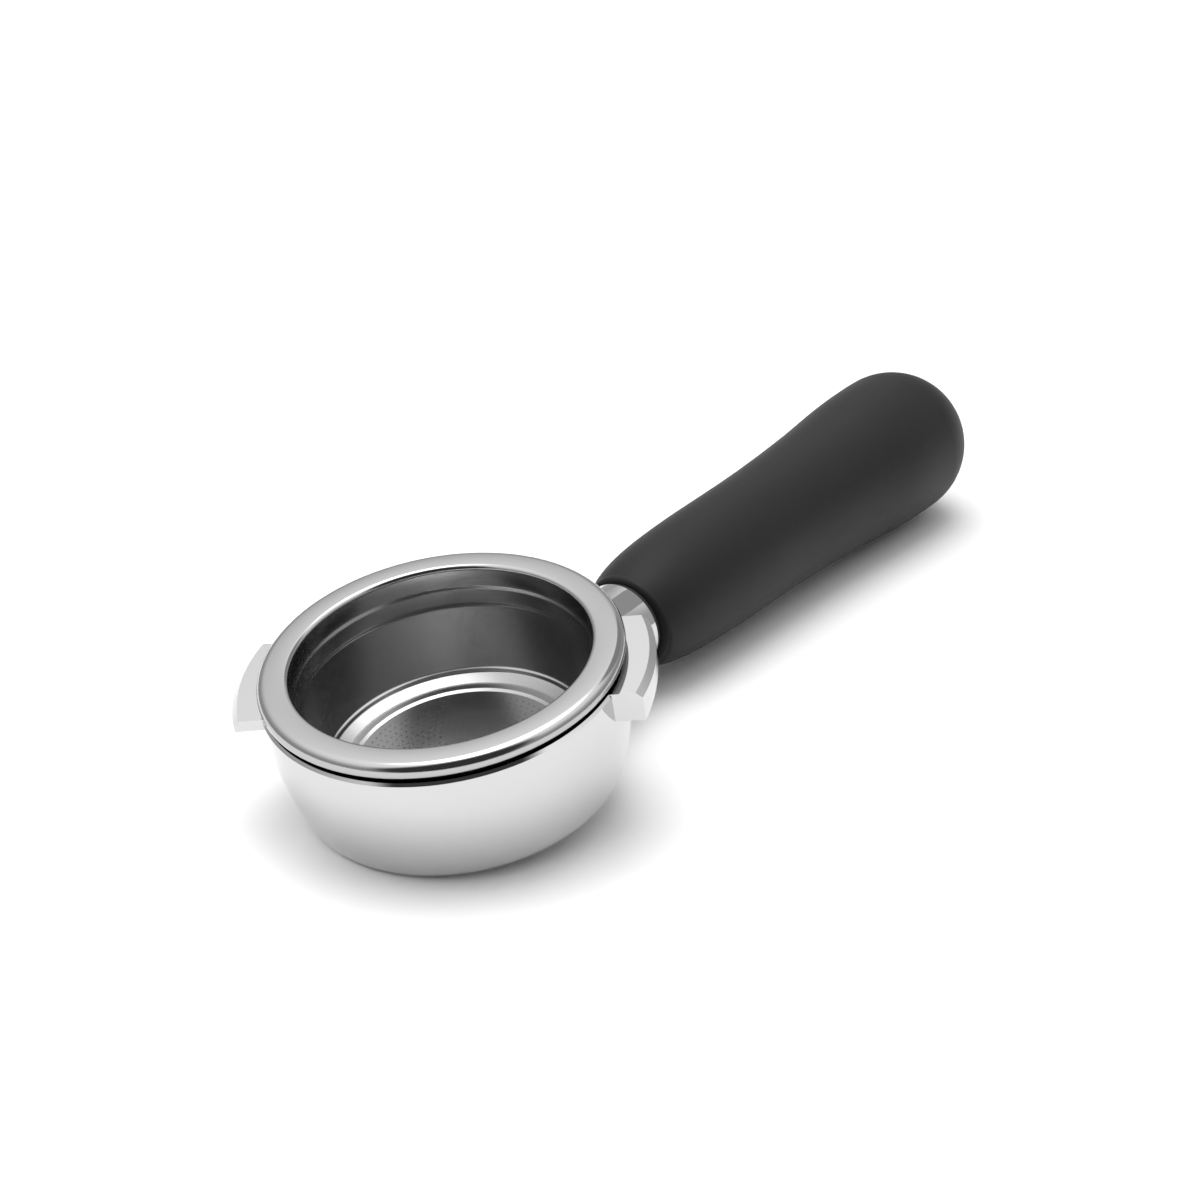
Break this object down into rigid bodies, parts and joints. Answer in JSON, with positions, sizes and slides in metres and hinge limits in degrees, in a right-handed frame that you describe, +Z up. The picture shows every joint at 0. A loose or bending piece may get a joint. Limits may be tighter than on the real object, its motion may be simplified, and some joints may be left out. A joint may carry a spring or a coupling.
{
  "type": "portafilter",
  "caption": "Bottomless portafilter for a 58 mm espresso group: chromed ring with bayonet lugs, lift-out filter basket, wire retaining ring and a soft-touch handle.",
  "frame": {"origin": "on the basket's axis, in the plane of the rim's flat top, which seals on the group's gasket", "axes": "+Z up along the basket's axis, the way the basket lifts out and the part enters the group; +X towards the handle; +Y by the right-hand rule"},
  "size_m": [0.2242, 0.0798, 0.0667],
  "materials": {
    "chrome": "polished chrome on a brass casting",
    "basket_steel": "bright pressed stainless steel",
    "spring_steel": "bright drawn wire",
    "stud_steel": "plain zinc-plated steel",
    "gasket_rubber": "matt black rubber",
    "insert_brass": "turned brass",
    "grip_plastic": "soft-touch matt black, lightly pebbled"
  },
  "bodies": {
    "holder": {"holder_body": "chrome", "handle_stud": "stud_steel", "handle_gasket": "gasket_rubber", "grip_insert": "insert_brass", "handle_grip": "grip_plastic"},
    "spring_ring": {"basket_spring": "spring_steel"},
    "basket": {"filter_basket": "basket_steel"}
  },
  "joints": [
    {"name": "basket_spin", "type": "hinge", "parent": "holder", "child": "spring_ring", "pos_m": [0, 0, -0.007], "axis": [0, 0, 1], "continuous": true},
    {"name": "basket_lift", "type": "slide", "parent": "spring_ring", "child": "basket", "axis": [0, 0, 1], "range_m": [0, 0.035]}
  ]
}
